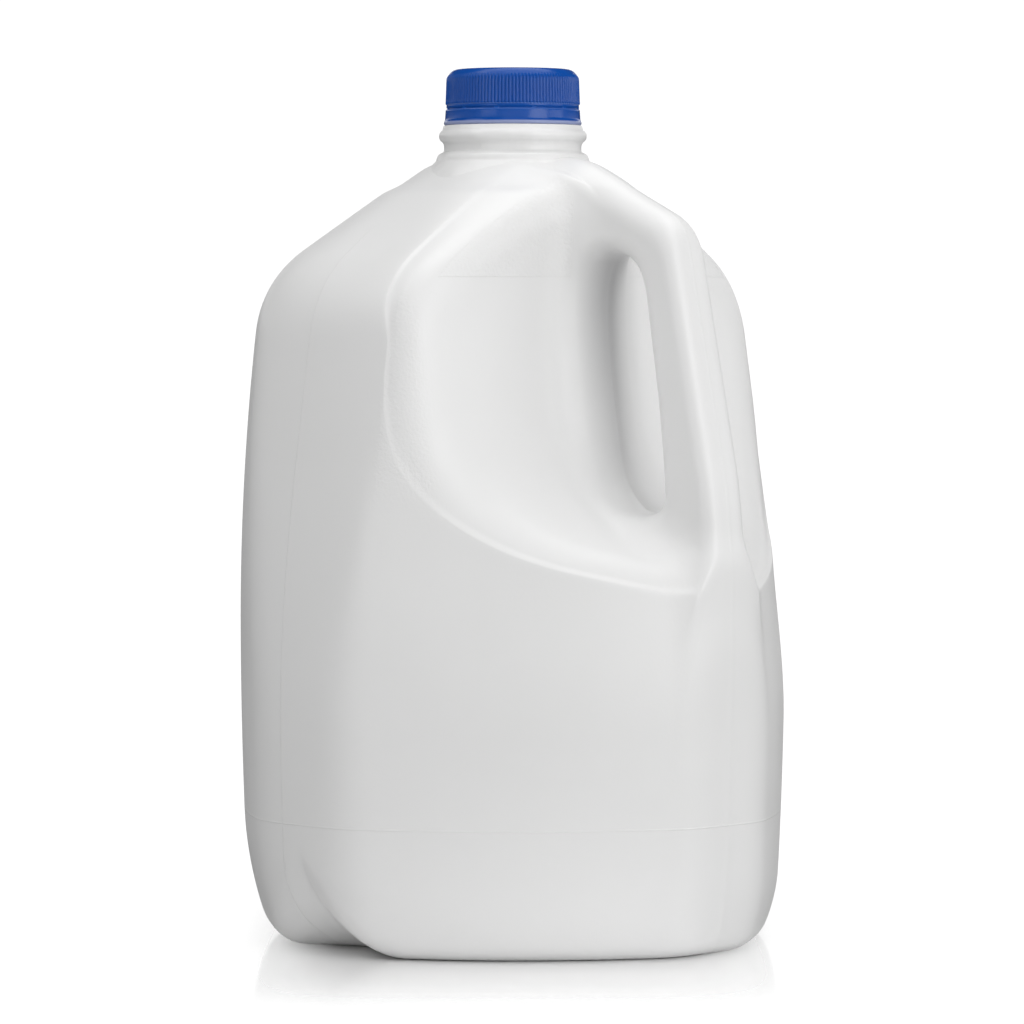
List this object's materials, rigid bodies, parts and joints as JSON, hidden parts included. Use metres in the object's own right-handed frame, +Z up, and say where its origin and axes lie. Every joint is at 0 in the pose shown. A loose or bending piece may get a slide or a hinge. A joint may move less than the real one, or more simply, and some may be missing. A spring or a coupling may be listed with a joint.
{
  "type": "plastic jug",
  "caption": "Square plastic drinks jug with rounded walls, a moulded corner handle with a hand opening, a short neck and a ribbed screw cap.",
  "frame": {"origin": "middle of the flat standing face, on the surface that the jug stands on", "axes": "+Z up along the neck, +X towards the corner that carries the handle, the mould's parting plane is XZ"},
  "size_m": [0.1763, 0.1744, 0.2565],
  "materials": {
    "milky_plastic": "satin, slightly translucent white",
    "blue_plastic": "semi-gloss royal blue"
  },
  "bodies": {
    "root": {"jug": "milky_plastic", "cap": "blue_plastic"}
  },
  "joints": []
}
